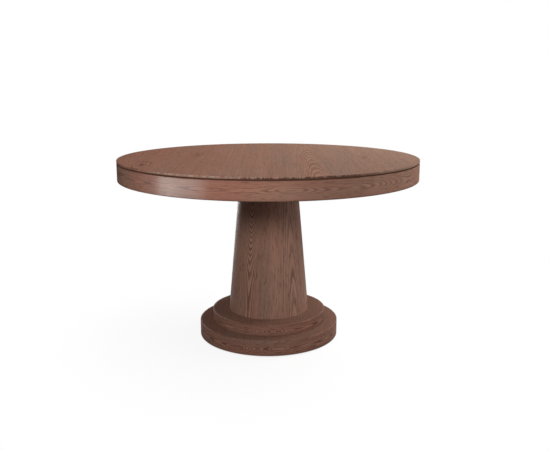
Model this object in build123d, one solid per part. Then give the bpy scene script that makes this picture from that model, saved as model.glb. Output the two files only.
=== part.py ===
from build123d import *
import math
import os

# Round pedestal table in stained oak: a round top with a shadow groove round its edge, a tapered
# column of five curved panels, and a base of two stepped round plinths on levelling feet.
# Millimetres, +Z up. The origin is on the floor under the column's axis, and -Y is the front.

# Overall
TABLE_HEIGHT = 762.0
TOP_DIAMETER = 1235.0
EDGE_HEIGHT = 83.0

# Top: facing boards over a plywood core, with the groove between the boards and the apron
BOARD_COUNT = 6
FACING_THICKNESS = 8.5
LIP_BEVEL = 1.2
GROOVE_HEIGHT = 5.5
GROOVE_DEPTH = 7.0
CORE_THICKNESS = 18.0

# Apron: a bent band in segments, rebated for the core, with loose tongues and glue blocks
APRON_THICKNESS = 24.0
APRON_ROUND = 1.5
APRON_NAMES = ["front", "back_right", "back_left"]
APRON_FRONT_START = 210.0
APRON_TONGUE_THICKNESS = 6.0
APRON_TONGUE_WIDTH = 30.0
APRON_TONGUE_STOP = 12.0
BLOCK_COUNT = 12
BLOCK_WIDTH = 60.0
BLOCK_REACH = 30.0
BLOCK_HEIGHT = 40.0
BLOCK_BEVEL = 14.0

# Bearers: two halved bars under the core
BEARER_DEPTH = 46.0
BEARER_WIDTH = 80.0
BEARER_END_GAP = 105.0
BEARER_NOSE_LENGTH = 90.0
BEARER_NOSE_RISE = 20.0

# Bolts that hold the top down on the bearers, with their washers and threaded inserts
BOLT_DIAMETER = 8.0
BOLT_HEAD_WIDTH = 13.0
BOLT_HEAD_HEIGHT = 5.3
BOLT_NOSE_MARGIN = 30.0
BOLT_COLUMN_MARGIN = 60.0
BOLT_TIP_MARGIN = 2.0
BOLT_WASHER_DIAMETER = 22.0
BOLT_WASHER_THICKNESS = 1.6
INSERT_DIAMETER = 12.0
INSERT_COVER = 5.0

# Column
COLUMN_TOP_DIAMETER = 238.0
COLUMN_BOTTOM_DIAMETER = 340.0
COLUMN_WALL = 20.0
COLUMN_PANELS = 5
COLUMN_SEAM_ANGLE = -87.5
COLUMN_TONGUE_THICKNESS = 5.0
COLUMN_TONGUE_WIDTH = 16.0
COLUMN_TONGUE_STOP = 30.0
FORMER_THICKNESS = 24.0

# Tie rod through the whole pedestal
TIE_ROD_DIAMETER = 12.0
TIE_ROD_STICKOUT = 3.0
TIE_NUT_WIDTH = 19.0
TIE_NUT_HEIGHT = 10.0
TIE_WASHER_DIAMETER = 37.0
TIE_WASHER_THICKNESS = 3.0
TIE_RECESS_MARGIN = 5.0
TIE_END_MARGIN = 1.0

# Base
UPPER_PLINTH_DIAMETER = 481.0
UPPER_PLINTH_HEIGHT = 46.5
LOWER_PLINTH_DIAMETER = 590.0
LOWER_PLINTH_HEIGHT = 61.5
PLINTH_BAND_THICKNESS = 6.0
PLINTH_ROUND = 1.5
FLOOR_GAP = 3.0

# Dowels and screws of the pedestal
DOWEL_DIAMETER = 10.0
DOWEL_LENGTH = 36.0
DOWEL_COUNT = 4
TOP_DOWEL_MARGIN = 25.0
FOOT_DOWEL_INSET = 40.0
PLINTH_DOWEL_INSET = 104.0
SCREW_COUNT = 8
SCREW_DIAMETER = 5.0
SCREW_COVER = 19.0
SCREW_HEAD_DIAMETER = 11.0
SCREW_HEAD_HEIGHT = 4.0
SCREW_BORE_DIAMETER = 14.0
SCREW_BORE_DEPTH = 20.0
SCREW_INSET = 54.0

# Levelling feet
LEVELLER_ANGLES = {"back_right": 45.0, "back_left": 135.0, "front_left": 225.0, "front_right": 315.0}
LEVELLER_INSET = 70.0
PAD_DIAMETER = 40.0
PAD_RIM_HEIGHT = 6.0
PAD_TAPER_HEIGHT = 6.0
PAD_NECK_DIAMETER = 24.0
PAD_SOLE = 5.0
PAD_ROUND = 1.0
PAD_RECESS_MARGIN = 4.0
STUD_DIAMETER = 10.0
STUD_COVER = 10.0
STUD_END_MARGIN = 2.0
FLANGED_INSERT_DIAMETER = 14.0
FLANGED_INSERT_LENGTH = 24.0
FLANGE_DIAMETER = 26.0
FLANGE_THICKNESS = 2.0

# Fits, each measured on one side
GLUE_GAP = 0.2
THREAD_GAP = 0.1
BOLT_HOLE_GAP = 0.5
STOP_GAP = 0.3

# Heights, from the floor up
Z_LOWER_PLINTH = FLOOR_GAP
Z_UPPER_PLINTH = Z_LOWER_PLINTH + LOWER_PLINTH_HEIGHT
Z_COLUMN = Z_UPPER_PLINTH + UPPER_PLINTH_HEIGHT
Z_FACING = TABLE_HEIGHT - FACING_THICKNESS
Z_GROOVE = Z_FACING - GROOVE_HEIGHT
Z_CORE = Z_FACING - CORE_THICKNESS
Z_BEARER = Z_CORE - BEARER_DEPTH
Z_APRON = TABLE_HEIGHT - EDGE_HEIGHT
Z_PAD_NECK = PAD_RIM_HEIGHT + PAD_TAPER_HEIGHT
Z_FLANGE = Z_PAD_NECK + STOP_GAP
Z_RECESS = Z_FLANGE + FLANGE_THICKNESS
Z_INSERT_TOP = Z_FLANGE + FLANGED_INSERT_LENGTH
Z_STUD_HOLE = Z_UPPER_PLINTH - STUD_COVER
Z_STUD_TOP = Z_STUD_HOLE - STUD_END_MARGIN
Z_SCREW_SEAT = Z_LOWER_PLINTH + SCREW_BORE_DEPTH
Z_INSERT_END = Z_FACING - INSERT_COVER

# Radii
TOP_RADIUS = TOP_DIAMETER / 2
CORE_RADIUS = TOP_RADIUS - GROOVE_DEPTH
APRON_INNER = TOP_RADIUS - APRON_THICKNESS
BEARER_REACH = APRON_INNER - BEARER_END_GAP
UPPER_CORE_RADIUS = UPPER_PLINTH_DIAMETER / 2 - PLINTH_BAND_THICKNESS
LOWER_CORE_RADIUS = LOWER_PLINTH_DIAMETER / 2 - PLINTH_BAND_THICKNESS
LEVELLER_CIRCLE = LOWER_PLINTH_DIAMETER / 2 - LEVELLER_INSET
SCREW_CIRCLE = UPPER_CORE_RADIUS - SCREW_INSET
TOP_DOWEL_CIRCLE = BEARER_WIDTH / 2 + TOP_DOWEL_MARGIN
PLINTH_DOWEL_CIRCLE = UPPER_CORE_RADIUS - PLINTH_DOWEL_INSET

# Angles of what repeats round the axis
ARM_ANGLES = [0.0, 90.0, 180.0, 270.0]
DOWEL_ANGLES = [360.0 / DOWEL_COUNT * step for step in range(DOWEL_COUNT)]
FOOT_DOWEL_ANGLES = [angle + 180.0 / DOWEL_COUNT for angle in DOWEL_ANGLES]
SCREW_ANGLES = [360.0 / SCREW_COUNT * (step + 0.5) for step in range(SCREW_COUNT)]
BLOCK_ANGLES = [360.0 / BLOCK_COUNT * (step + 0.5) for step in range(BLOCK_COUNT)]
PANEL_SWEEP = 360.0 / COLUMN_PANELS
APRON_SWEEP = 360.0 / len(APRON_NAMES)

STANDING = (Align.CENTER, Align.CENTER, Align.MIN)


def turned(outline, rounds=0.0, start=0.0, sweep=360.0):
    """Carry a closed outline of (radius, height) points round the axis, each corner with its round."""
    wire = FilletPolyline(*outline, radius=rounds, close=True)
    return Rot(0, 0, start) * revolve(make_face(Plane.XZ * wire), Axis.Z, sweep)


def rod(radius, low, high):
    """Upright cylinder on the axis between two heights."""
    return Pos(0, 0, low) * Cylinder(radius, high - low, align=STANDING)


def ring(outer, inner, low, high):
    """Upright tube on the axis between two heights."""
    return rod(outer, low, high) - rod(inner, low, high)


def hexagon(width, low, high):
    """Upright hexagonal prism on the axis, by its width across flats."""
    outline = Pos(0, 0, low) * RegularPolygon(width / 2, 6, major_radius=False)
    return extrude(outline, high - low)


def around(shape, circle, angles):
    """Copies of a shape made on the axis, set out on a circle at the given angles."""
    return [Rot(0, 0, angle) * Pos(circle, 0, 0) * shape for angle in angles]


def column_radius(height):
    """Outer radius of the tapered column at a height."""
    share = (height - Z_COLUMN) / (Z_BEARER - Z_COLUMN)
    return (COLUMN_BOTTOM_DIAMETER + share * (COLUMN_TOP_DIAMETER - COLUMN_BOTTOM_DIAMETER)) / 2


def bolt_circles():
    """Distances of the inner and outer bolts from the axis along each bearer arm."""
    inner = column_radius(Z_BEARER) + BOLT_COLUMN_MARGIN
    outer = BEARER_REACH - BEARER_NOSE_LENGTH - BOLT_NOSE_MARGIN
    return [inner, outer]


def at_bolts(shape):
    """One copy of a shape at every bolt of the top."""
    return [copy for circle in bolt_circles() for copy in around(shape, circle, ARM_ANGLES)]


def top_boards():
    """Facing boards: a disc whose lip has bevelled arrises, ripped into strips that run front to back."""
    outline = [
        (0, Z_FACING),
        (TOP_RADIUS - LIP_BEVEL, Z_FACING),
        (TOP_RADIUS, Z_FACING + LIP_BEVEL),
        (TOP_RADIUS, TABLE_HEIGHT - LIP_BEVEL),
        (TOP_RADIUS - LIP_BEVEL, TABLE_HEIGHT),
        (0, TABLE_HEIGHT),
    ]
    disc = turned(outline)
    width = TOP_DIAMETER / BOARD_COUNT
    boards = {}
    for number in range(BOARD_COUNT):
        # The outer strips run past the rim, so that no cut only grazes it.
        left = (number if number else -1) * width - TOP_RADIUS
        right = (number + 1 if number + 1 < BOARD_COUNT else BOARD_COUNT + 1) * width - TOP_RADIUS
        strip = Box(right - left, TOP_DIAMETER, FACING_THICKNESS, align=STANDING)
        boards[f"top_board_{number + 1}"] = disc & Pos((left + right) / 2, 0, Z_FACING) * strip
    return boards


def top_core():
    """Plywood disc under the boards, drilled from below for the threaded inserts."""
    socket = rod(INSERT_DIAMETER / 2 + GLUE_GAP, Z_CORE, Z_INSERT_END + GLUE_GAP)
    return rod(CORE_RADIUS, Z_CORE, Z_FACING) - at_bolts(socket)


def apron_tongue(gap=0.0):
    """Loose tongue across one joint of the apron, on the +X side, grown by a gap for its slot."""
    low = Z_APRON + APRON_TONGUE_STOP - gap
    high = Z_CORE - APRON_TONGUE_STOP + gap
    tongue = Box(APRON_TONGUE_THICKNESS + 2 * gap, APRON_TONGUE_WIDTH + 2 * gap, high - low, align=STANDING)
    return Pos(TOP_RADIUS - APRON_THICKNESS / 2, 0, low) * tongue


def apron_segments():
    """Bent band in equal segments, with a ledge inside that the core sits on."""
    rebate = CORE_RADIUS + GLUE_GAP
    outline = [
        (APRON_INNER, Z_APRON),
        (TOP_RADIUS, Z_APRON),
        (TOP_RADIUS, Z_GROOVE),
        (rebate, Z_GROOVE),
        (rebate, Z_CORE),
        (APRON_INNER, Z_CORE),
    ]
    rounds = [APRON_ROUND, APRON_ROUND, APRON_ROUND, 0, 0, 0]
    slot = apron_tongue(GLUE_GAP)
    segments = {}
    for number, name in enumerate(APRON_NAMES):
        start = APRON_FRONT_START + number * APRON_SWEEP
        segment = turned(outline, rounds, start, APRON_SWEEP)
        slots = [Rot(0, 0, start) * slot, Rot(0, 0, start + APRON_SWEEP) * slot]
        segments[f"apron_segment_{name}"] = segment - slots
    return segments


def apron_tongues():
    """Loose tongues in the joints of the apron."""
    seams = [APRON_FRONT_START + number * APRON_SWEEP for number in range(len(APRON_NAMES))]
    return [Rot(0, 0, seam) * apron_tongue() for seam in seams]


def apron_blocks():
    """Glue blocks in the corner of apron and core, bevelled on their free edge."""
    outer = APRON_INNER - GLUE_GAP
    inner = outer - BLOCK_REACH
    low = Z_CORE - BLOCK_HEIGHT
    bevel = [(inner, low + BLOCK_BEVEL), (inner + BLOCK_BEVEL, low)]
    block_ring = turned(bevel + [(outer, low), (outer, Z_CORE), (inner, Z_CORE)])
    saw_cut = Box(2 * BLOCK_REACH, BLOCK_WIDTH, BLOCK_HEIGHT, align=STANDING)
    return [block_ring & copy for copy in around(Pos(0, 0, low) * saw_cut, outer, BLOCK_ANGLES)]


def bearer():
    """One bearer along X: ends cut away underneath, bored for bolts, dowels and the tie rod's nut."""
    foot = BEARER_REACH - BEARER_NOSE_LENGTH
    nose = Z_BEARER + BEARER_NOSE_RISE
    outline = Polyline(
        (-BEARER_REACH, Z_CORE),
        (-BEARER_REACH, nose),
        (-foot, Z_BEARER),
        (foot, Z_BEARER),
        (BEARER_REACH, nose),
        (BEARER_REACH, Z_CORE),
        close=True,
    )
    bar = extrude(make_face(Plane.XZ * outline), BEARER_WIDTH / 2, both=True)
    bolt_hole = rod(BOLT_DIAMETER / 2 + BOLT_HOLE_GAP, Z_BEARER, Z_CORE)
    bolt_holes = [copy for circle in bolt_circles() for copy in around(bolt_hole, circle, [0.0, 180.0])]
    dowel_holes = around(dowel_hole(Z_BEARER), TOP_DOWEL_CIRCLE, [0.0, 180.0])
    nut_recess = rod(tie_recess_radius(), tie_top_seat(), Z_CORE)
    return bar - bolt_holes - dowel_holes - rod_hole(Z_BEARER, Z_CORE) - nut_recess


def bearers():
    """The two bearers, halved over each other at the middle."""
    lap = Z_CORE - BEARER_DEPTH / 2
    notch = BEARER_WIDTH + 2 * GLUE_GAP
    lower_notch = Pos(0, 0, Z_BEARER) * Box(notch, BEARER_WIDTH, lap - Z_BEARER, align=STANDING)
    upper_notch = Pos(0, 0, lap) * Box(BEARER_WIDTH, notch, Z_CORE - lap, align=STANDING)
    front_back = Rot(0, 0, 90) * bearer() - upper_notch
    return {"bearer_left_right": bearer() - lower_notch, "bearer_front_back": front_back}


def top_bolts():
    """Hexagon bolts up through the bearers into the inserts."""
    seat = Z_BEARER - BOLT_WASHER_THICKNESS
    head = hexagon(BOLT_HEAD_WIDTH, seat - BOLT_HEAD_HEIGHT, seat)
    return at_bolts(head + rod(BOLT_DIAMETER / 2, seat, Z_INSERT_END - BOLT_TIP_MARGIN))


def top_washers():
    """Washers under the bolt heads."""
    bore = BOLT_DIAMETER / 2 + THREAD_GAP
    return at_bolts(ring(BOLT_WASHER_DIAMETER / 2, bore, Z_BEARER - BOLT_WASHER_THICKNESS, Z_BEARER))


def top_inserts():
    """Threaded inserts in the underside of the core."""
    bore = BOLT_DIAMETER / 2 + THREAD_GAP
    return at_bolts(ring(INSERT_DIAMETER / 2, bore, Z_CORE, Z_INSERT_END))


def column_tongue(gap=0.0):
    """Loose tongue along one joint of the column, leaning with the taper at the middle of the wall."""
    low = Z_COLUMN + COLUMN_TONGUE_STOP - gap
    high = Z_BEARER - COLUMN_TONGUE_STOP + gap
    middle = (low + high) / 2
    lean = math.atan2(column_radius(low) - column_radius(high), high - low)
    length = (high - low) / math.cos(lean)
    tongue = Box(COLUMN_TONGUE_THICKNESS + 2 * gap, COLUMN_TONGUE_WIDTH + 2 * gap, length)
    return Pos(column_radius(middle) - COLUMN_WALL / 2, 0, middle) * Rot(0, -math.degrees(lean), 0) * tongue


def column_panels():
    """Curved tapered panels, grooved on both edges for the tongues."""
    outline = [
        (column_radius(Z_COLUMN) - COLUMN_WALL, Z_COLUMN),
        (column_radius(Z_COLUMN), Z_COLUMN),
        (column_radius(Z_BEARER), Z_BEARER),
        (column_radius(Z_BEARER) - COLUMN_WALL, Z_BEARER),
    ]
    groove = column_tongue(GLUE_GAP)
    panels = {}
    for number in range(COLUMN_PANELS):
        start = COLUMN_SEAM_ANGLE + number * PANEL_SWEEP
        grooves = [Rot(0, 0, start) * groove, Rot(0, 0, start + PANEL_SWEEP) * groove]
        panels[f"column_panel_{number + 1}"] = turned(outline, 0.0, start, PANEL_SWEEP) - grooves
    return panels


def column_tongues():
    """Loose tongues in the joints between the panels."""
    seams = [COLUMN_SEAM_ANGLE + number * PANEL_SWEEP for number in range(COLUMN_PANELS)]
    return [Rot(0, 0, seam) * column_tongue() for seam in seams]


def former(low):
    """Plywood disc whose edge leans with the inside of the column, bored for the tie rod."""
    high = low + FORMER_THICKNESS
    reach = COLUMN_WALL + GLUE_GAP
    outline = [(0, low), (column_radius(low) - reach, low), (column_radius(high) - reach, high), (0, high)]
    return turned(outline) - rod_hole(low, high)


def formers():
    """The three discs that the panels are glued round, the end ones drilled for dowels."""
    top = former(Z_BEARER - FORMER_THICKNESS)
    bottom = former(Z_COLUMN)
    return {
        "column_top_former": top - around(dowel_hole(Z_BEARER), TOP_DOWEL_CIRCLE, DOWEL_ANGLES),
        "column_middle_former": former((Z_COLUMN + Z_BEARER - FORMER_THICKNESS) / 2),
        "column_bottom_former": bottom - around(dowel_hole(Z_COLUMN), foot_dowel_circle(), FOOT_DOWEL_ANGLES),
    }


def dowel(joint, gap=0.0):
    """Upright dowel centred on a joint's height."""
    return rod(DOWEL_DIAMETER / 2 + gap, joint - DOWEL_LENGTH / 2 - gap, joint + DOWEL_LENGTH / 2 + gap)


def dowel_hole(joint):
    """Hole for a dowel, with room for glue."""
    return dowel(joint, GLUE_GAP)


def foot_dowel_circle():
    """Circle of the dowels under the column, set in from the inside of its panels."""
    return column_radius(Z_COLUMN) - COLUMN_WALL - FOOT_DOWEL_INSET


def rod_hole(low, high):
    """Clearance hole for the tie rod between two heights."""
    return rod(TIE_ROD_DIAMETER / 2 + BOLT_HOLE_GAP, low, high)


def tie_recess_radius():
    """Radius of the recesses that take the tie rod's washers and a socket on its nuts."""
    return TIE_WASHER_DIAMETER / 2 + TIE_RECESS_MARGIN


def tie_end_depth():
    """Depth of those recesses: washer, nut, the rod's end and a margin."""
    return TIE_WASHER_THICKNESS + TIE_NUT_HEIGHT + TIE_ROD_STICKOUT + TIE_END_MARGIN


def tie_top_seat():
    """Height of the face that the upper washer sits on."""
    return Z_CORE - tie_end_depth()


def tie_bottom_seat():
    """Height of the face that the lower washer bears against."""
    return Z_LOWER_PLINTH + tie_end_depth()


def tie_rod_set():
    """The tie rod with a washer and a nut at each end."""
    bore = TIE_ROD_DIAMETER / 2 + THREAD_GAP
    top = tie_top_seat() + TIE_WASHER_THICKNESS
    bottom = tie_bottom_seat() - TIE_WASHER_THICKNESS
    washer_radius = TIE_WASHER_DIAMETER / 2
    top_end = top + TIE_NUT_HEIGHT
    bottom_end = bottom - TIE_NUT_HEIGHT
    return {
        "tie_rod": rod(TIE_ROD_DIAMETER / 2, bottom_end - TIE_ROD_STICKOUT, top_end + TIE_ROD_STICKOUT),
        "tie_rod_top_washer": ring(washer_radius, bore, tie_top_seat(), top),
        "tie_rod_top_nut": hexagon(TIE_NUT_WIDTH, top, top_end) - rod(bore, top, top_end),
        "tie_rod_bottom_washer": ring(washer_radius, bore, bottom, tie_bottom_seat()),
        "tie_rod_bottom_nut": hexagon(TIE_NUT_WIDTH, bottom_end, bottom) - rod(bore, bottom_end, bottom),
    }


def plinth_screw(gap=0.0):
    """Pan head screw on the axis, from its bore in the lower plinth up into the upper one."""
    shank = rod(SCREW_DIAMETER / 2 + gap, Z_SCREW_SEAT, Z_COLUMN - SCREW_COVER + gap)
    return shank + rod(SCREW_HEAD_DIAMETER / 2, Z_SCREW_SEAT - SCREW_HEAD_HEIGHT, Z_SCREW_SEAT)


def screw_holes():
    """Holes for the shanks of the plinth screws, which run through both plinths."""
    return around(plinth_screw(THREAD_GAP), SCREW_CIRCLE, SCREW_ANGLES)


def upper_plinth_core():
    """Upper disc of the base, drilled for the tie rod, the dowels and the screws."""
    disc = rod(UPPER_CORE_RADIUS, Z_UPPER_PLINTH, Z_COLUMN)
    foot_holes = around(dowel_hole(Z_COLUMN), foot_dowel_circle(), FOOT_DOWEL_ANGLES)
    joint_holes = around(dowel_hole(Z_UPPER_PLINTH), PLINTH_DOWEL_CIRCLE, DOWEL_ANGLES)
    return disc - rod_hole(Z_UPPER_PLINTH, Z_COLUMN) - foot_holes - joint_holes - screw_holes()


def lower_plinth_core():
    """Lower disc of the base, with recesses underneath for the rod's end, the screws and the feet."""
    disc = rod(LOWER_CORE_RADIUS, Z_LOWER_PLINTH, Z_UPPER_PLINTH)
    joint_holes = around(dowel_hole(Z_UPPER_PLINTH), PLINTH_DOWEL_CIRCLE, DOWEL_ANGLES)
    tie_recess = rod(tie_recess_radius(), Z_LOWER_PLINTH, tie_bottom_seat())
    screw_bore = rod(SCREW_BORE_DIAMETER / 2, Z_LOWER_PLINTH, Z_SCREW_SEAT)
    screw_bores = around(screw_bore, SCREW_CIRCLE, SCREW_ANGLES)
    pad_recess = rod(PAD_DIAMETER / 2 + PAD_RECESS_MARGIN, Z_LOWER_PLINTH, Z_RECESS)
    insert_hole = rod(FLANGED_INSERT_DIAMETER / 2 + GLUE_GAP, Z_RECESS, Z_INSERT_TOP)
    stud_hole = rod(STUD_DIAMETER / 2 + BOLT_HOLE_GAP, Z_RECESS, Z_STUD_HOLE)
    feet = around(pad_recess + insert_hole + stud_hole, LEVELLER_CIRCLE, LEVELLER_ANGLES.values())
    rod_passage = rod_hole(Z_LOWER_PLINTH, Z_UPPER_PLINTH)
    return disc - rod_passage - tie_recess - joint_holes - screw_bores - screw_holes() - feet


def plinth_bands(name, diameter, low, high):
    """Bent oak band round one plinth, in a front and a back half, with eased arrises."""
    outer = diameter / 2
    inner = outer - PLINTH_BAND_THICKNESS + GLUE_GAP
    outline = [(inner, low), (outer, low), (outer, high), (inner, high)]
    rounds = [0, PLINTH_ROUND, PLINTH_ROUND, 0]
    return {
        f"{name}_band_front": turned(outline, rounds, 180.0, 180.0),
        f"{name}_band_back": turned(outline, rounds, 0.0, 180.0),
    }


def leveller_pad():
    """Turned foot: a flat rim that tapers to a neck, with a socket for the stud."""
    rim = PAD_DIAMETER / 2
    neck = PAD_NECK_DIAMETER / 2
    outline = [(0, 0), (rim, 0), (rim, PAD_RIM_HEIGHT), (neck, Z_PAD_NECK), (0, Z_PAD_NECK)]
    foot = turned(outline, [0, PAD_ROUND, PAD_ROUND, 0, 0])
    return foot - rod(STUD_DIAMETER / 2 + THREAD_GAP, PAD_SOLE, Z_PAD_NECK)


def leveller_insert():
    """Threaded insert whose flange closes the top of the foot's recess."""
    flange = rod(FLANGE_DIAMETER / 2, Z_FLANGE, Z_RECESS)
    barrel = rod(FLANGED_INSERT_DIAMETER / 2, Z_RECESS, Z_INSERT_TOP)
    return flange + barrel - rod(STUD_DIAMETER / 2 + THREAD_GAP, Z_FLANGE, Z_INSERT_TOP)


def levellers():
    """Four feet under the lower plinth, each a pad and a stud."""
    stud = rod(STUD_DIAMETER / 2, PAD_SOLE, Z_STUD_TOP)
    feet = {}
    for name, angle in LEVELLER_ANGLES.items():
        place = Rot(0, 0, angle) * Pos(LEVELLER_CIRCLE, 0, 0)
        feet[f"leveller_pad_{name}"] = place * leveller_pad()
        feet[f"leveller_stud_{name}"] = place * stud
    return feet


def groups():
    """Like small pieces that share one node each."""
    return {
        "apron_tongues": apron_tongues(),
        "apron_blocks": apron_blocks(),
        "top_bolts": top_bolts(),
        "top_washers": top_washers(),
        "top_inserts": top_inserts(),
        "column_tongues": column_tongues(),
        "column_top_dowels": around(dowel(Z_BEARER), TOP_DOWEL_CIRCLE, DOWEL_ANGLES),
        "column_foot_dowels": around(dowel(Z_COLUMN), foot_dowel_circle(), FOOT_DOWEL_ANGLES),
        "plinth_dowels": around(dowel(Z_UPPER_PLINTH), PLINTH_DOWEL_CIRCLE, DOWEL_ANGLES),
        "plinth_screws": around(plinth_screw(), SCREW_CIRCLE, SCREW_ANGLES),
        "leveller_inserts": around(leveller_insert(), LEVELLER_CIRCLE, LEVELLER_ANGLES.values()),
    }


def table():
    """Every node of the table by name."""
    nodes = {**top_boards(), "top_core": top_core(), **apron_segments(), **bearers()}
    nodes.update(column_panels())
    nodes.update(formers())
    nodes.update(tie_rod_set())
    nodes["upper_plinth_core"] = upper_plinth_core()
    nodes["lower_plinth_core"] = lower_plinth_core()
    nodes.update(plinth_bands("upper_plinth", UPPER_PLINTH_DIAMETER, Z_UPPER_PLINTH, Z_COLUMN))
    nodes.update(plinth_bands("lower_plinth", LOWER_PLINTH_DIAMETER, Z_LOWER_PLINTH, Z_UPPER_PLINTH))
    nodes.update(levellers())
    for name, pieces in groups().items():
        nodes[name] = Compound([solid for piece in pieces for solid in piece.solids()])
    return nodes


os.makedirs("parts", exist_ok=True)
for node_name, shape in table().items():
    export_step(shape, f"parts/{node_name}.step")
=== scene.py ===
import math
from collections import namedtuple
from functools import partial

import bmesh
import bpy
import numpy as np
from bpy.props import FloatProperty, FloatVectorProperty, PointerProperty
from bpy.types import Operator, Panel, PropertyGroup
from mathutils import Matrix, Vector


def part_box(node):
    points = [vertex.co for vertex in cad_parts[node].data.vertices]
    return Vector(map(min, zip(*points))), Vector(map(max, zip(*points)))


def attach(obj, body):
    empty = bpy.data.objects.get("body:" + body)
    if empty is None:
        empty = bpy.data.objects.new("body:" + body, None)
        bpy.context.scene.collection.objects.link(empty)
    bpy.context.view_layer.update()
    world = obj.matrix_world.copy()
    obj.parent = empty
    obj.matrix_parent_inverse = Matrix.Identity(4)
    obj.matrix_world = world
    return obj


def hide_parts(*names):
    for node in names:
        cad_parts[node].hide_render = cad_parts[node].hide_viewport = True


bl_info = {
    "name": "Round pedestal table",
    "version": (1, 0, 0),
    "blender": (4, 5, 0),
    "location": "3D View > Sidebar > Table",
    "description": "Stained oak surfaces, feet, hidden woods and a photo stage for the round pedestal table",
    "category": "Object",
}

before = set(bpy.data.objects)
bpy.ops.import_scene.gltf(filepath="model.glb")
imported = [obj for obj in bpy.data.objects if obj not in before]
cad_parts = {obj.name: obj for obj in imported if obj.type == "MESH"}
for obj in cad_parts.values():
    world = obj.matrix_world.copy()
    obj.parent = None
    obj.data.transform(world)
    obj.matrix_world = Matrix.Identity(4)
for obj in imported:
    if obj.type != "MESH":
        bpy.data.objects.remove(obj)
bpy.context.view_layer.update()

BOARDS = [f"top_board_{number}" for number in range(1, 7)]
APRON = ["apron_segment_front", "apron_segment_back_right", "apron_segment_back_left"]
PANELS = [f"column_panel_{number}" for number in range(1, 6)]
BANDS = [f"{plinth}_plinth_band_{half}" for plinth in ("upper", "lower") for half in ("front", "back")]
PLINTH_CORES = ["upper_plinth_core", "lower_plinth_core"]
CORNERS = ["front_left", "front_right", "back_left", "back_right"]
PLYWOOD = ["top_core", "column_top_former", "column_middle_former", "column_bottom_former"]
BEECH = [
    "bearer_left_right", "bearer_front_back", "apron_blocks", "apron_tongues", "column_tongues",
    "column_top_dowels", "column_foot_dowels", "plinth_dowels",
]
STEEL = [
    "top_bolts", "top_washers", "top_inserts", "tie_rod", "tie_rod_top_washer", "tie_rod_top_nut",
    "tie_rod_bottom_washer", "tie_rod_bottom_nut", "plinth_screws", "leveller_inserts",
]

# How a piece was sawn, in metres. The pith lies `across` from the middle of the piece and `depth` behind its
# face, and the depth changes by `slope` along the grain. Each dip brings the pith nearer by `amount` round
# `place`, over about `length`; a negative amount takes it farther away. Each patch makes the stain warmer in
# the same way, or greyer if negative. A knot lies `aside` from the middle of the piece and has rings of its
# own over about `width`. The more `point` a piece has, the sharper are the peaks of its figure; the more
# `faint` it is, the paler is its early wood.
Dip = namedtuple("Dip", "place amount length")
Knot = namedtuple("Knot", "place aside amount length width")
Patch = namedtuple("Patch", "place amount length")
Figure = namedtuple(
    "Figure", "across depth slope dips knots patches point faint", defaults=((), (), (), 0.0, 0.0))
FIGURES = {
    "top_board_1": Figure(0.160, 0.090, 0.0, (), (Knot(-0.279, 0.037, 1.0, 0.090, 0.027),), (
        Patch(0.0, 0.60, 0.8),)),
    "top_board_2": Figure(-0.170, 0.080, 0.010, (), (Knot(0.075, 0.007, 1.0, 0.080, 0.018),), (
        Patch(0.0, 0.35, 0.8),)),
    "top_board_3": Figure(0.190, 0.080, 0.0, (), (), (Patch(0.1, 0.2, 0.2),)),
    "top_board_4": Figure(0.070, 0.120, 0.020, (), (), (Patch(0.3, -0.3, 0.6),)),
    "top_board_5": Figure(0.190, 0.080, 0.010, (), (Knot(-0.037, 0.084, 1.0, 0.080, 0.017),), (
        Patch(0.0, -0.6, 0.8),)),
    "top_board_6": Figure(-0.180, 0.100, -0.010, (), (), (Patch(0.0, -0.7, 0.8),)),
    "apron_segment_front": Figure(0.003, 0.024, 0.0, (
        Dip(0.62, -0.020, 0.20), Dip(0.08, 0.010, 0.10), Dip(-0.22, 0.006, 0.14), Dip(-0.62, 0.008, 0.20)),
        patches=(Patch(-0.17, 1.0, 0.10), Patch(-0.48, 0.9, 0.10))),
    "apron_segment_back_right": Figure(-0.020, 0.034, -0.024, (Dip(0.25, 0.020, 0.14),)),
    "apron_segment_back_left": Figure(0.012, 0.028, 0.020, (Dip(-0.30, 0.018, 0.12),)),
    "column_panel_1": Figure(0.004, 0.110, 0.020, point=0.020, faint=0.35),
    "column_panel_2": Figure(0.012, 0.020, 0.050, (Dip(0.45, 0.020, 0.12),)),
    "column_panel_3": Figure(0.110, 0.030, 0.020),
    "column_panel_4": Figure(0.0, 0.066, -0.040),
    "column_panel_5": Figure(0.007, 0.066, 0.0, (Dip(0.66, 0.033, 0.24),), point=0.055),
    "upper_plinth_band_front": Figure(-0.003, 0.018, 0.020, (
        Dip(-0.150, 0.003, 0.008), Dip(-0.126, 0.003, 0.009), Dip(-0.098, 0.003, 0.008),
        Dip(-0.074, 0.003, 0.009), Dip(-0.046, 0.003, 0.008), Dip(-0.014, 0.002, 0.008),
        Dip(0.020, 0.002, 0.010), Dip(0.055, 0.002, 0.008))),
    "upper_plinth_band_back": Figure(0.006, 0.054, -0.030, (Dip(0.12, 0.018, 0.10),)),
    "lower_plinth_band_front": Figure(-0.002, 0.022, -0.020, (
        Dip(-0.168, 0.003, 0.008), Dip(-0.142, 0.003, 0.009), Dip(-0.112, 0.003, 0.008),
        Dip(-0.088, 0.003, 0.009), Dip(-0.060, 0.003, 0.009), Dip(-0.030, 0.002, 0.008),
        Dip(0.010, 0.002, 0.009), Dip(0.075, 0.002, 0.008))),
    "lower_plinth_band_back": Figure(-0.006, 0.056, 0.030, (Dip(-0.05, 0.018, 0.10),)),
}
# How far apart in their logs two pieces are.
GRAIN_SHIFT = 3.7
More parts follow.
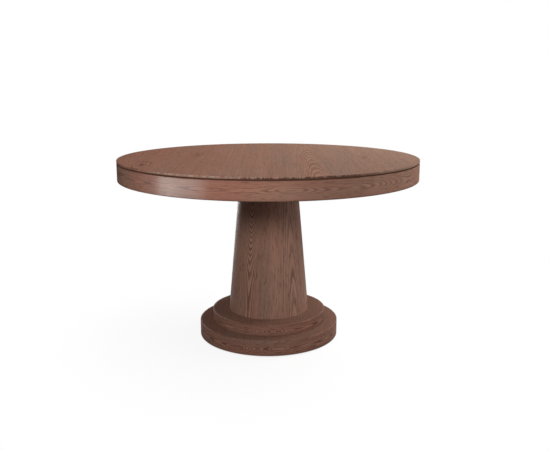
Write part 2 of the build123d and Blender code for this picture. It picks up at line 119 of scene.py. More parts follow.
# Along a bent band's grain, as middle and half length: where it is rubbed to a shine, and where it has
# painted shade. Then the weight of the shine's coat, the strength of that painted shade, and how far the
# painted shade along the lower arris reaches up.
RUBS = {"apron_segment_front": (-0.352, 0.140)}
PAINTED_SHADE_STRETCHES = {"apron_segment_front": (0.23, 0.14)}
RUB_COAT = 0.7
PAINTED_SHADE_AMOUNT = 0.55
PAINTED_SHADE_RISE = 0.005
# Along the lip in X, as middle and half length: where its upper arris has a painted highlight, where it has
# painted highlight ticks, and where it is notched dark. Then its chips, half a chip's length, and the waves
# of its brushed end grain with the lag of each.
LIP_HIGHLIGHT = (-0.29, 0.12)
LIP_HIGHLIGHT_TICKS = (-0.01, 0.17)
LIP_NOTCHED = (0.13, 0.22)
CHIPS = (0.130, 0.170, 0.206, 0.255, 0.311)
CHIP_HALF = 0.006
BRUSH_WAVES = np.array([0.0057, 0.0091, 0.0143, 0.0237, 0.0411, 0.0730])
BRUSH_LAG = 1.7
# Largest steps between neighbouring points, fixed numbers of points, and the stride of a board's underside.
BOARD_STEP = 0.0018
OUTLINE_STEP = 0.006
APRON_STEP = 0.006
BAND_STEP = 0.005
FOOT_STEP = 0.002
LIP_POINTS = 5
SPAN_POINTS = 66
EASE_POINTS = 4
FOOT_POINTS = 240
STUD_POINTS = 32
POINTS_PER_PITCH = 8
UNDER_STRIDE = 8
# Small lengths below which things count as the same, and the angle above which an edge stays sharp.
SAME_HEIGHT = 1e-4
SAME_POINT = 1e-6
NO_EDGE = 1e-7
SHARP_EDGE = math.radians(40)
# Room between apron and core, and the round on the ends of the column's panels.
CORE_GAP = 0.0002
PANEL_ROUND = 0.0005
# A levelling foot: room round the stud, the neck's share of the rim, the rounds from the bore's lower end to
# its upper end, the flutes and how narrow they are.
STUD_GAP = 0.0001
NECK_SHARE = 0.6
FOOT_ROUNDS = (0, 0.001, 0.001, 0.0006, 0)
FLUTES = 20
FLUTE_POWER = 8


def quantity(name, description, default, **settings):
    """A property that holds a number."""
    return FloatProperty(name=name, description=description, default=default, **settings)


def millimetres(name, description, default):
    """A length property, stored in metres and given here in millimetres."""
    return metres(name, description, default / 1000, precision=5)


def colour(name, description, default):
    """A linear colour property, opaque."""
    settings = {"default": (*default, 1.0), "subtype": "COLOR", "size": 4}
    return FloatVectorProperty(name=name, description=description, **settings)


# A length, a share between nothing and all, and an angle in radians.
metres = partial(quantity, unit="LENGTH")
share = partial(quantity, subtype="FACTOR", min=0.0, max=1.0)
angle = partial(quantity, subtype="ANGLE")


class TableSizes(PropertyGroup):
    """Sizes of the modelled surfaces that the solids leave open."""
    lip_round: millimetres("Lip round", "Round on both arrises of the top's lip", 1.5)
    lip_relief: millimetres("Lip relief", "Depth of the brushed end grain on the lip", 0.7)
    chip_depth: millimetres("Chip depth", "Depth of the chips at the lip's lower arris", 2.4)
    apron_thickness: millimetres("Apron thickness", "Thickness of the bent band under the top", 24.0)
    apron_round: millimetres("Apron round", "Round on the upper arrises of the apron", 1.2)
    apron_base: millimetres("Apron base round", "Round on the lower outer arris of the apron", 3.2)
    column_wall: millimetres("Column wall", "Thickness of the column's panels", 20.0)
    plinth_round: millimetres("Plinth round", "Round on the arrises of the plinth bands", 1.0)
    band_thickness: millimetres("Band thickness", "Thickness of the plinth bands", 5.8)
    seam_ease: millimetres("Seam ease", "Round on the edges where two oak pieces meet", 0.2)
    thread_pitch: millimetres("Thread pitch", "Pitch of the levelling studs", 1.5)
    thread_depth: millimetres("Thread depth", "Depth of the levelling studs' thread", 0.9)
    flute_depth: millimetres("Flute depth", "Depth of the finger flutes round the feet", 0.5)


class OakFinish(PropertyGroup):
    """Colours of the stained oak, and how each part is finished."""
    late: colour("Late wood", "Stained late wood, the lighter part of each ring", (0.300, 0.170, 0.122))
    early: colour("Early wood", "Stained early wood, the darker part of each ring", (0.085, 0.041, 0.031))
    pore: colour("Pores", "Stain held in the open pores", (0.060, 0.030, 0.020))
    warm: colour("Warm patches", "Where the stain looks more orange", (0.325, 0.150, 0.106))
    grey: colour("Grey patches", "Where the stain looks greyer", (0.255, 0.165, 0.126))
    # Pale colour on the lip: a painted highlight along its upper arris, laid on the ridges between the
    # brushed hollows.
    worn_and_highlit: colour("Worn ridges", "Ridges of the lip where the stain has worn off", (0.420, 0.310, 0.240))
    groove: colour("Groove", "Edge of the core at the back of the shadow groove", (0.090, 0.040, 0.028))
    shine: share("Rubbed lacquer", "Roughness of the lacquer where it is rubbed to a shine", 0.18)
    bump: millimetres("Brushing", "Depth of the brushed early wood", 0.25)


# What each part of the oak has of its own, and its values part by part.
FINISH_KINDS = {
    "ring": (millimetres, "Ring width"),
    "contrast": (share, "How dark the early wood is"),
    "shade": (share, "How much of the colour the stain leaves"),
    "warmth": (share, "How orange the stain is throughout"),
    "roughness": (share, "Roughness of the lacquer"),
    "gloss": (share, "Specular level of the lacquer"),
}
# The plinths' shade is partly painted shade: the veneered discs, whose tops lie under the table top and
# beside the column, are much darker than the rest of the oak, and the plinth bands are somewhat darker.
PART_FINISHES = {
    "top": (2.2, 0.58, 1.0, 0.05, 0.75, 0.0),
    "apron": (2.6, 0.50, 1.0, 0.10, 0.60, 0.0),
    "column": (2.4, 1.0, 0.96, 0.15, 0.50, 0.04),
    "plinth": (2.0, 0.95, 0.87, 0.55, 0.50, 0.012),
    "veneer": (3.0, 0.20, 0.61, 0.30, 0.60, 0.0),
}


def add_part_finishes():
    """Give the oak's finish one property of each kind for each part."""
    for part, values in PART_FINISHES.items():
        for (kind, (make, note)), value in zip(FINISH_KINDS.items(), values):
            label = f"{part} {kind}".capitalize()
            OakFinish.__annotations__[f"{part}_{kind}"] = make(label, f"{note}: {part}", value)


class HiddenFinish(PropertyGroup):
    """Colours of what shows from below."""
    plywood_face: colour("Plywood face", "Face veneer of the plywood", (0.46, 0.31, 0.18))
    plywood_ply: colour("Plywood ply", "Darker plies in the plywood's edge", (0.27, 0.16, 0.085))
    beech: colour("Beech", "Planed beech", (0.52, 0.33, 0.20))
    beech_fleck: colour("Beech fleck", "Flecks in the beech", (0.33, 0.18, 0.095))
    zinc: colour("Zinc", "Zinc plated steel", (0.62, 0.62, 0.60))
    zinc_dull: colour("Dull zinc", "Duller spots in the plating", (0.42, 0.42, 0.42))
    nylon: colour("Nylon", "Moulded nylon of the feet", (0.028, 0.028, 0.030))


class StageLook(PropertyGroup):
    """Camera, floor and lamps."""
    camera_back: metres("Camera back", "Camera's distance in front of the axis", 2.885)
    camera_height: metres("Camera height", "Camera's height above the floor", 1.0774)
    camera_pitch: angle("Camera pitch", "How far the camera looks down", 0.2069)
    camera_yaw: angle("Camera yaw", "How far the camera looks to the right", 0.0095)
    lens: quantity("Lens", "Focal length in millimetres", 45.507)
    floor_grey: share("Floor grey", "How much light the floor throws back", 0.12)
    ambient: share("Ambient", "Strength of the light from all round", 0.20)


def sizes():
    return bpy.context.scene.table_sizes


def oak():
    return bpy.context.scene.table_oak


def hidden():
    return bpy.context.scene.table_hidden


def look():
    return bpy.context.scene.table_stage


# Reading the frame


def vertices_of(node):
    """Every vertex of a CAD node at rest, one row each."""
    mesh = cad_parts[node].data
    flat = np.empty(len(mesh.vertices) * 3, np.float32)
    mesh.vertices.foreach_get("co", flat)
    return flat.reshape(-1, 3).astype(float)


def outer_radius(node, height):
    """Largest distance from the axis among a node's vertices at a height."""
    points = vertices_of(node)
    level = np.abs(points[:, 2] - height) < SAME_HEIGHT
    return np.hypot(points[level, 0], points[level, 1]).max()


def arc_of(node):
    """First and last polar angle of a node that bends round the axis."""
    points = vertices_of(node)
    angles = np.arctan2(points[:, 1], points[:, 0])
    middle = math.atan2(points[:, 1].mean(), points[:, 0].mean())
    turns = (angles - middle + math.pi) % (2 * math.pi) - math.pi
    return middle + turns.min(), middle + turns.max()


# Surfaces


def unit(vector):
    return vector / np.linalg.norm(vector)


def corner_arc(corner, before, after, radius, steps=6, support=0.0006):
    """Round one corner: the arc turns evenly about the point that lies radius from both sides, and one more
    point on each side keeps the flats flat."""
    if radius == 0:
        return corner[None]
    back = unit(before - corner)
    ahead = unit(after - corner)
    half = math.acos(np.clip(back @ ahead, -1, 1)) / 2
    centre = corner + unit(back + ahead) * radius / math.sin(half)
    first = corner + back * radius / math.tan(half)
    last = corner + ahead * radius / math.tan(half)
    turn = math.pi - 2 * half
    part = np.linspace(0, 1, steps + 1)[:, None]
    rays = (first - centre) * np.sin((1 - part) * turn) + (last - centre) * np.sin(part * turn)
    rays = rays / math.sin(turn)
    return np.concatenate([[first + back * support], centre + rays, [last + ahead * support]])


def rounded_outline(corners, rounds, step):
    """Closed outline of (radius, height) points: an arc at each corner, and between the arcs straights that
    are divided evenly into lengths of at most step."""
    corners = np.array(corners, float)
    neighbours = zip(corners, np.roll(corners, 1, 0), np.roll(corners, -1, 0), rounds)
    arcs = [corner_arc(*each) for each in neighbours]
    runs = []
    for arc, following in zip(arcs, arcs[1:] + arcs[:1]):
        gap = following[0] - arc[-1]
        count = max(1, math.ceil(np.linalg.norm(gap) / step))
        runs += [arc, arc[-1] + np.arange(1, count)[:, None] / count * gap]
    return np.concatenate(runs)


def shrunk(outline, chord, shrink):
    """Radii and heights of an outline at each station, shrunk along its normals, and the normals: at each
    point the chord turned a quarter."""
    normals = np.stack([chord[:, 1], -chord[:, 0]], axis=1)
    normals = normals / np.linalg.norm(normals, axis=1)[:, None]
    radii, heights = np.moveaxis(outline - shrink[:, None, None] * normals, 2, 0)
    return radii, heights, normals


def eased_ends(length, step, ease, first=True, last=True):
    """Stations along a length, with how far the section shrinks at each: at an eased end it follows a quarter
    circle, shrinking by ease times one less the sine while it advances by ease times one less the cosine."""
    quarter = np.linspace(0, math.pi / 2, EASE_POINTS)
    rise = ease * (1 - np.cos(quarter))
    shrink = ease * (1 - np.sin(quarter))
    start = (rise, shrink) if first else (np.zeros(1), np.zeros(1))
    end = (length - rise[::-1], shrink[::-1]) if last else (np.full(1, length), np.zeros(1))
    count = max(2, math.ceil(length / step))
    middle = np.linspace(start[0][-1], end[0][0], count + 1)[1:-1]
    places = np.concatenate([start[0], middle, end[0]])
    shrinks = np.concatenate([start[1], np.zeros(len(middle)), end[1]])
    return places, shrinks


def cartesian(radii, heights, angles):
    """Points of cylinder coordinates."""
    return np.stack([radii * np.cos(angles), radii * np.sin(angles), heights], axis=-1)


def carried_round(node, outline, step):
    """Carry a closed outline round the axis over a node's arc: row by row, the outline turned to its place
    and shrunk along its normals near the ends. Gives the points, and for each its radius, its height and its
    angle from the middle of the arc."""
    start, end = arc_of(node)
    radius = outline[:, 0].max()
    arc, shrink = eased_ends((end - start) * radius, step, sizes().seam_ease)
    radii, heights, _ = shrunk(outline, np.roll(outline, -1, 0) - np.roll(outline, 1, 0), shrink)
    angles = np.broadcast_to(start + arc[:, None] / radius, radii.shape)
    return cartesian(radii, heights, angles), radii, heights, angles - (start + end) / 2


def bells(spots, along):
    """Sum of one bell curve for each spot along the grain."""
    total = np.zeros(along.shape)
    for spot in spots:
        total = total + spot.amount * np.exp(-((along - spot.place) / spot.length) ** 2)
    return total


def sawn(node, along, across, rise):
    """The piece's wood at each point. The grain is the place in the log: along the grain, across from the
    pith, and out from the pith, which lies at a straight slope less the dips and plus a share of the distance
    across; rise is how far the point stands proud of the face. Each piece comes from another stretch of log.
    The cast is how much warmer the stain is, the knot rises in a bell curve to each knot's middle, and faint
    is the same all over."""
    figure = FIGURES[node]
    shift = GRAIN_SHIFT * (1 + list(FIGURES).index(node))
    out = figure.depth + figure.slope * along - bells(figure.dips, along) + rise
    out = out + figure.point * np.abs(across - figure.across)
    knots = np.zeros(along.shape)
    for knot in figure.knots:
        knots = knots + bells([knot], along) * np.exp(-((across - knot.aside) / knot.width) ** 2)
    return {
        "grain": np.stack([along + shift, across - figure.across, out], axis=-1),
        "cast": bells(figure.patches, along),
        "knot": knots,
        "faint": np.full(along.shape, figure.faint),
    }


def lofted(name, rows, wrapped=False, **fields):
    """Closed mesh of quads between neighbouring rows of points, where each row closes on itself. The end rows
    are filled flat, or if wrapped joined. Each field is kept with the points under its name."""
    stations, count = rows.shape[:2]
    index = np.arange(stations * count).reshape(stations, count)
    around = np.concatenate([index, index[:1]]) if wrapped else index
    here, ahead = around[:-1], around[1:]
    quads = np.stack([here, np.roll(here, -1, 1), np.roll(ahead, -1, 1), ahead], axis=-1)
    faces = quads.reshape(-1, 4).tolist()
    if not wrapped:
        faces += [index[0, ::-1].tolist(), index[-1].tolist()]
    mesh = bpy.data.meshes.new(name)
    mesh.from_pydata(rows.reshape(-1, 3), [], faces)
    for label, values in fields.items():
        kind, key = ("FLOAT_VECTOR", "vector") if values.ndim == 3 else ("FLOAT", "value")
        field = mesh.attributes.new(label, kind, "POINT")
        field.data.foreach_set(key, values.reshape(-1).astype(np.float32))
    closed = bmesh.new()
    closed.from_mesh(mesh)
    bmesh.ops.remove_doubles(closed, verts=closed.verts, dist=SAME_POINT)
    bmesh.ops.dissolve_degenerate(closed, edges=closed.edges, dist=NO_EDGE)
    bmesh.ops.recalc_face_normals(closed, faces=closed.faces)
    closed.to_mesh(mesh)
    closed.free()
    mesh.shade_smooth()
    mesh.set_sharp_from_angle(angle=SHARP_EDGE)
    return mesh


def linked(name, data):
    """A new object in the scene."""
    added = bpy.data.objects.new(name, data)
    bpy.context.scene.collection.objects.link(added)
    return added


def add_piece(name, mesh, material, body, node):
    """Put a finished mesh in the scene in place of a CAD node."""
    piece = linked(name, mesh)
    mesh.materials.append(material)
    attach(piece, body)
    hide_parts(node)


def oak_piece(node, rows, material, **fields):
    """Make an oak piece of the table from closed rows of points."""
    mesh = lofted(f"oak_{node}", rows, **fields)
    add_piece(f"oak_{node}", mesh, material, "table", node)


def dress(nodes, material):
    """Give CAD nodes that stay in view their finish."""
    for node in nodes:
        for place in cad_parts[node].material_slots:
            place.material = material


# Finishes


# Numbers of the sockets of a node that mixes colours: the factor, both colours, and the result.
MIX_SOCKETS = (0, 6, 7)
MIX_RESULT = 2
WHITE = (1.0, 1.0, 1.0, 1.0)


class Finish:
    """Short calls for adding nodes to one new material or to the world."""

    def __init__(self, name, world=False):
        self.material = (bpy.data.worlds if world else bpy.data.materials).new(name)
        self.material.use_nodes = True
        self.tree = self.material.node_tree
        self.tree.nodes.clear()

    def add(self, kind, inputs=(), **settings):
        """Add a node with settings, and with inputs by name, by number or in order. Gives its outputs."""
        node = self.tree.nodes.new("ShaderNode" + kind)
        for name, value in settings.items():
            setattr(node, name, value)
        for key, value in inputs.items() if isinstance(inputs, dict) else enumerate(inputs):
            if isinstance(value, bpy.types.NodeSocket):
                self.tree.links.new(value, node.inputs[key])
            else:
                node.inputs[key].default_value = value
        return node.outputs

    def math(self, operation, *values, clamp=False):
        return self.add("Math", values, operation=operation, use_clamp=clamp)[0]

    def times(self, first, second):
        return self.math("MULTIPLY", first, second)

    def scaled(self, value, factor, shift, clamp=False):
        """A value times a factor, plus a shift."""
        return self.math("MULTIPLY_ADD", value, factor, shift, clamp=clamp)

    def vector(self, operation, *values):
        results = self.add("VectorMath", values, operation=operation)
        return results["Value" if operation == "LENGTH" else "Vector"]

    def split(self, vector):
        return self.add("SeparateXYZ", {"Vector": vector})

    def joined(self, **parts):
        return self.add("CombineXYZ", parts)[0]

    def noise(self, place, stretch, detail=2.0):
        scaled = self.vector("MULTIPLY", place, stretch)
        return self.add("TexNoise", {"Vector": scaled, "Scale": 1.0, "Detail": detail})[0]

    def band(self, value, low, high, bottom=0.0, top=1.0):
        inputs = {"Value": value, "From Min": low, "From Max": high, "To Min": bottom, "To Max": top}
        return self.add("MapRange", inputs, interpolation_type="SMOOTHSTEP")[0]

    def ramp(self, value, stops):
        shade = self.add("ValToRGB", {"Fac": value})[0]
        points = shade.node.color_ramp.elements
        while len(points) < len(stops):
            points.new(1.0)
        for point, (place, grey) in zip(points, stops):
            point.position = place
            point.color = (grey, grey, grey, 1.0)
        return shade

    def mix(self, factor, first, second, blend_type="MIX"):
        inputs = dict(zip(MIX_SOCKETS, (factor, first, second)))
        return self.add("Mix", inputs, data_type="RGBA", blend_type=blend_type)[MIX_RESULT]

    def tint(self, colour_in, amount):
        """Multiply a colour by a grey amount."""
        return self.mix(1.0, colour_in, amount, "MULTIPLY")

    def blend(self, factor, first, second):
        """Mix two shaders."""
        return self.add("MixShader", (factor, first, second))[0]

    def field(self, name, kind="Fac"):
        """One of the piece's own fields."""
        return self.add("Attribute", attribute_name=name)[kind]

    def in_view(self):
        """One for rays from the camera and for what is mirrored or seen through something, else nothing."""
        rays = self.add("LightPath")
        mirrored = self.math("MAXIMUM", rays["Is Glossy Ray"], rays["Is Transmission Ray"])
        return self.math("MAXIMUM", rays["Is Camera Ray"], mirrored)

    def object_place(self):
        return self.add("TexCoord")["Object"]

    def surface(self, colour_in, rough, gloss, height, depth, strength, **more):
        """A plain surface of a colour, roughness and specular level, with bumps of a depth in metres."""
        bump = self.add("Bump", {"Height": height, "Distance": depth, "Strength": strength})
        inputs = {"Base Color": colour_in, "Roughness": rough, "Specular IOR Level": gloss, **more}
        inputs["Normal"] = bump[0]
        return self.shown(self.add("BsdfPrincipled", inputs)[0])

    def shown(self, shader, kind="OutputMaterial"):
        """End the material or the world with a shader."""
        self.add(kind, {"Surface": shader})
        return self.material


# One ring from its start to its end: how dark the early wood is.
RING = [(0.0, 1.0), (0.22, 0.95), (0.48, 0.25), (0.66, 0.0), (0.90, 0.05), (1.0, 1.0)]
# Noise in the oak: cells per metre along the grain, across it and out from the pith, and layers of detail.
OAK_NOISE = {
    "drift": ((1.3, 10.0, 10.0), 2.0),
    "ripple": ((16.0, 90.0, 90.0), 2.0),
    "streak": ((1.4, 140.0, 140.0), 2.0),
    "fibre": ((9.0, 480.0, 480.0), 3.0),
    "ticks": ((26.0, 240.0, 240.0), 1.0),
    "pores": ((60.0, 1300.0, 1300.0), 1.0),
    "tone": ((1.7, 13.0, 13.0), 3.0),
}
CAST_NOISE = ((2.3, 17.0, 17.0), 2.0)
CAST_SHIFT = (11.0, 5.0, 2.0)
UNEVEN_NOISE = (90.0, 1.0, 1.0)
# How far drift and ripple move the rings in metres, and how many rings they are uneven by.
DRIFT = 0.0045
RIPPLE = 0.0011
UNEVEN = 1.5
# Share of a ring's darkness that changes from ring to ring.
VIGOUR = 0.4
# Rings round a knot and where they start, how dark they are, and by the knot's strength its eye and its edge.
KNOT_RINGS = (2.6, 0.25)
KNOT_DARK = 0.55
KNOT_EYE = (0.70, 0.95, 0.0, 0.40)
KNOT_EDGE = (0.08, 0.30)
# Between which values noise turns into ticks, pores, orange and grey stain.
TICKS = (0.58, 0.70)
PORES = (0.54, 0.68)
ORANGE = (0.50, 0.72, 0.0, 0.55)
DULL = (0.50, 0.72, 0.0, 0.60)
# How much pores darken the stain, and how much painted shade does.
PORE_DARK = 0.70
PAINTED_SHADE_DARK = 0.45


def carried_grain(wood):
    """The piece's own grain field."""
    return wood.field("grain", "Vector")


def flat_veneer(wood):
    """Veneer laid flat with its grain front to back and its pith under the face."""
    inputs = {"Rotation": (0.0, 0.0, math.pi / 2), "Location": (0.0, 0.05, 0.03)}
    return wood.add("Mapping", {"Vector": wood.object_place(), **inputs})[0]


def ring_figure(wood, place, noise, ring, contrast):
    """How dark the early wood is. The distance from the pith, wandering a little, is cut into rings, and each
    ring starts dark and ends light. Rings of its own take over round a knot, with a dark eye."""
    parts = wood.split(place)
    radial = wood.joined(Y=parts["Y"], Z=parts["Z"])
    wander = wood.scaled(noise["drift"], DRIFT, wood.times(noise["ripple"], RIPPLE))
    distance = wood.math("ADD", wood.vector("LENGTH", radial), wander)
    uneven = wood.noise(wood.joined(X=distance), UNEVEN_NOISE)
    rings = wood.math("ADD", wood.math("DIVIDE", distance, ring), wood.times(uneven, UNEVEN))
    number = wood.math("FLOOR", rings)
    vigour = wood.add("TexWhiteNoise", {"W": number}, noise_dimensions="1D")["Value"]
    depth = wood.scaled(vigour, VIGOUR * contrast, (1 - VIGOUR) * contrast)
    early = wood.times(wood.ramp(wood.math("FRACT", rings), RING), depth)
    early = wood.times(early, wood.math("SUBTRACT", 1.0, wood.field("faint")))
    knot = wood.field("knot")
    knot_rings = wood.scaled(noise["ripple"], 0.5, wood.scaled(knot, *KNOT_RINGS))
    round_knot = wood.times(wood.ramp(wood.math("FRACT", knot_rings), RING), KNOT_DARK)
    round_knot = wood.math("ADD", round_knot, wood.band(knot, *KNOT_EYE))
    within = wood.band(knot, *KNOT_EDGE)
    early = wood.times(early, wood.math("SUBTRACT", 1.0, within))
    return wood.scaled(round_knot, within, early)


def stained_oak(part, place_of=carried_grain, lip=False, highlit=False):
    """Stained open-pored oak: the early wood of its rings is dark and holds most pores, slow noise along the
    grain and the piece's cast shift the stain between warm and grey, and painted shade darkens it along the
    lower arrises of bands and over one stretch of the apron. On the lip hollows are dark, and a painted
    highlight lies pale on the ridges of its upper arris; a piece with a rub field has a clear coat as thick
    as that field says."""
    wood = Finish(f"oak_{part}")
    tones = oak()
    ring, contrast, shade, warmth, roughness, gloss = (
        getattr(tones, f"{part}_{kind}") for kind in FINISH_KINDS)
    place = place_of(wood)
    noise = {label: wood.noise(place, *cells) for label, cells in OAK_NOISE.items()}
    early = ring_figure(wood, place, noise, ring, contrast)
    ticks = wood.band(noise["ticks"], *TICKS)
    pores = wood.scaled(early, 0.75, 0.25)
    pores = wood.times(wood.band(noise["pores"], *PORES), pores)
    cast = wood.noise(wood.vector("ADD", place, CAST_SHIFT), *CAST_NOISE)
    patch = wood.field("cast")
    orange = wood.math("ADD", wood.band(cast, *ORANGE), wood.math("ADD", patch, warmth), clamp=True)
    dull = wood.math("SUBTRACT", wood.band(noise["tone"], *DULL), patch, clamp=True)
    stain = wood.mix(dull, wood.mix(orange, tones.late, tones.warm), tones.grey)
    stain = wood.mix(early, stain, tones.early)
    stain = wood.mix(wood.times(ticks, 0.22 + 0.38 * contrast), stain, tones.early)
    stain = wood.mix(wood.times(pores, PORE_DARK), stain, tones.pore)
    # Painted shade: darker along the lower arrises of the bands and over one stretch of the apron's front.
    stain = wood.mix(wood.times(wood.field("painted_shade"), PAINTED_SHADE_DARK), stain, tones.early)
    even = wood.scaled(noise["fibre"], 0.40, 0.80 - 0.22 * contrast)
    grade = wood.scaled(noise["streak"], 0.44 * contrast, even)
    stain = wood.tint(stain, wood.times(grade, shade))
    if lip:
        # On the lip: a painted highlight, pale on the ridges of its upper arris, and dark hollows, notches
        # and chips.
        wear = wood.field("wear")
        pale = wood.scaled(wear, -1.4, 0.7, clamp=True)
        dark = wood.scaled(wear, 1.7, -0.85, clamp=True)
        stain = wood.mix(dark, wood.mix(pale, stain, tones.worn_and_highlit), tones.pore)
    base = wood.scaled(noise["fibre"], 0.10, roughness - 0.08)
    rough = wood.scaled(early, 0.12, base)
    hollow = wood.scaled(early, -0.6, wood.times(pores, -0.4))
    height = wood.scaled(noise["fibre"], 0.15, hollow)
    coat = {"Coat Weight": wood.field("rub"), "Coat Roughness": tones.shine} if highlit else {}
    return wood.surface(stain, rough, gloss, height, tones.bump, roughness, **coat)


# Height of a light and a dark ply, and how far from the rim the plywood's edge is stained.
PLY_PAIR = 0.004
EDGE_STAIN = (0.0012, 0.0006)


def plywood():
    """Plywood: plies alternate with height, the face has long grain, and the top core's outer edge is stained
    dark like the groove that it backs."""
    ply = Finish("plywood")
    place = ply.object_place()
    parts = ply.split(place)
    layer = ply.math("FRACT", ply.times(parts["Z"], 1 / PLY_PAIR))
    grain = ply.noise(place, (7.0, 260.0, 40.0), 3.0)
    figure = ply.noise(place, (2.0, 34.0, 6.0), 2.0)
    normal = ply.add("NewGeometry")["True Normal"]
    up = ply.math("ABSOLUTE", ply.split(normal)["Z"])
    edge = ply.times(ply.band(layer, 0.45, 0.55), ply.math("SUBTRACT", 1.0, up, clamp=True))
    face = ply.tint(hidden().plywood_face, ply.scaled(grain, 0.5, 0.72))
    face = ply.mix(ply.band(figure, 0.45, 0.7, 0.0, 0.35), face, hidden().plywood_ply)
    wood = ply.mix(edge, face, hidden().plywood_ply)
    flat = ply.joined(X=parts["X"], Y=parts["Y"])
    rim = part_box("top_core")[1].x
    stained = ply.band(ply.vector("LENGTH", flat), *(rim - depth for depth in EDGE_STAIN))
    wood = ply.mix(stained, wood, oak().groove)
    rough = ply.scaled(grain, 0.2, 0.5)
    return ply.surface(wood, rough, 0.02, grain, 0.0002, 0.5)


def beech():
    """Planed beech: fine fibre with short dark flecks along X."""
    wood = Finish("beech")
    place = wood.object_place()
    fibre = wood.noise(place, (9.0, 240.0, 240.0), 3.0)
    fleck = wood.band(wood.noise(place, (90.0, 700.0, 700.0), 1.0), 0.60, 0.70)
    tone = wood.noise(place, (2.0, 18.0, 18.0), 2.0)
    stain = wood.tint(hidden().beech, wood.scaled(fibre, 0.35, 0.82))
    stain = wood.mix(wood.band(tone, 0.4, 0.7, 0.0, 0.3), stain, hidden().beech_fleck)
    stain = wood.mix(wood.times(fleck, 0.6), stain, hidden().beech_fleck)
    rough = wood.scaled(fibre, 0.2, 0.45)
    return wood.surface(stain, rough, 0.3, fibre, 0.0002, 0.4)


def zinc():
    """Zinc plating: bright metal with a mottled dull bloom and fine scratches."""
    steel = Finish("zinc_plate")
    place = steel.object_place()
    bloom = steel.noise(place, (160.0, 160.0, 160.0), 3.0)
    scratch = steel.noise(place, (900.0, 900.0, 60.0), 1.0)
    plate = steel.mix(steel.band(bloom, 0.4, 0.7), hidden().zinc, hidden().zinc_dull)
    rough = steel.scaled(bloom, 0.25, steel.scaled(scratch, 0.1, 0.22))
    return steel.surface(plate, rough, 0.5, scratch, 0.00005, 0.4, Metallic=1.0)


def nylon():
    """Moulded nylon: black with a fine spark-eroded texture and a slight cloud."""
    plastic = Finish("nylon")
    place = plastic.object_place()
    spark = plastic.noise(place, (1800.0, 1800.0, 1800.0), 2.0)
    cloud = plastic.noise(place, (120.0, 120.0, 120.0), 2.0)
    body = plastic.tint(hidden().nylon, plastic.scaled(cloud, 0.6, 0.7))
    rough = plastic.scaled(spark, 0.2, 0.40)
    return plastic.surface(body, rough, 0.4, spark, 0.0001, 0.5)


# Pieces


def lip_outline(radius, low, high):
    """The lip's section from the top's flat to the underside: two arcs with a straight between them."""
    top = np.array([radius, high])
    bottom = np.array([radius, low])
    inward = np.array([-1.0, 0.0])
    upper = corner_arc(top, top + inward, bottom, sizes().lip_round)
    lower = corner_arc(bottom, top, bottom + inward, sizes().lip_round)
    middle = upper[-1] + np.linspace(0, 1, LIP_POINTS)[1:-1, None] * (lower[0] - upper[-1])
    return np.concatenate([upper, middle, lower])


def brushed(place):
    """Hollows of brushed end grain along the lip, from 0 to 1: waves of unlike length, added up."""
    starts = np.arange(len(BRUSH_WAVES)) * BRUSH_LAG
    waves = np.sin(2 * math.pi * place[..., None] / BRUSH_WAVES + starts)
    return np.clip(0.5 + 0.25 * waves.sum(axis=-1), 0, 1)


def stretch(place, middle, half):
    """A flat-topped bell curve along a piece."""
    return np.exp(-((place - middle) / half) ** 4)


def chipped(place):
    """Chips along the lip, from 0 to 1: a bell curve at each place."""
    chips = np.exp(-((place[..., None] - np.array(CHIPS)) / CHIP_HALF) ** 2)
    return np.clip(chips.sum(axis=-1), 0, 1)


def board_rows(left, right, radius, low, high, eased):
    """One facing board as closed loops set side by side across X. At each station every ring of the lip's
    section takes the angle between its crossings with the two seams, in even shares; the loop runs up the
    front lip, straight back over the top, down the back lip and forward underneath. End grain is cut back
    where it is brushed, and at its lower arris where it is chipped. With the points comes their wear and
    highlight, from 0 where a painted highlight lies pale on the ridges of the upper arris to 1 where hollows,
    notches and chips are dark."""
    lip = lip_outline(radius, low, high)
    along, shrink = eased_ends(right - left, BOARD_STEP, sizes().seam_ease, *eased)
    radii, heights, normals = shrunk(lip, -np.gradient(lip, axis=0), shrink)
    first = np.arccos(np.clip(left / radii, -1, 1))
    last = np.arccos(np.clip(right / radii, -1, 1))
    angles = first + (last - first) * (along / (right - left))[:, None]
    end_grain = normals[:, 0] ** 2 * np.sin(angles) ** 2
    lower = np.clip((high - heights) / (high - low), 0, 1)

    def worn_and_highlit(side):
        place = side * radii * np.cos(angles)
        highlit, highlight_ticks, notched = (stretch(place, *each) for each in (LIP_HIGHLIGHT, LIP_HIGHLIGHT_TICKS, LIP_NOTCHED))
        hollow = brushed(place)
        chip = chipped(place) * lower
        cut = end_grain * (sizes().lip_relief * hollow + sizes().chip_depth * chip)
        # Painted highlight: pale on the upper arris over two stretches, between the brushed hollows.
        pale = (1 - hollow) * (1.8 * highlit * (1 - lower) + 1.2 * highlight_ticks * (1 - lower) ** 1.5)
        dark = np.clip((0.7 * lower + 1.7 * hollow * lower ** 0.5) * notched + chip, 0, 1)
        wear = 0.5 + normals[:, 0] ** 2 * (dark - np.clip(pale, 0, 1)) / 2
        return cartesian(radii - cut, heights, -side * angles), wear

    front, front_wear = worn_and_highlit(1)
    back, back_wear = worn_and_highlit(-1)
    front, front_wear = front[:, ::-1], front_wear[:, ::-1]
    step = np.linspace(0, 1, SPAN_POINTS)[1:-1, None]
    over = front[:, -1:] + step * (back[:, :1] - front[:, -1:])
    under = back[:, -1:] + step[::UNDER_STRIDE] * (front[:, :1] - back[:, -1:])
    wears = [front_wear, np.full(over.shape[:2], 0.5), back_wear, np.full(under.shape[:2], 0.5)]
    return np.concatenate([front, over, back, under], axis=1), np.concatenate(wears, axis=1)


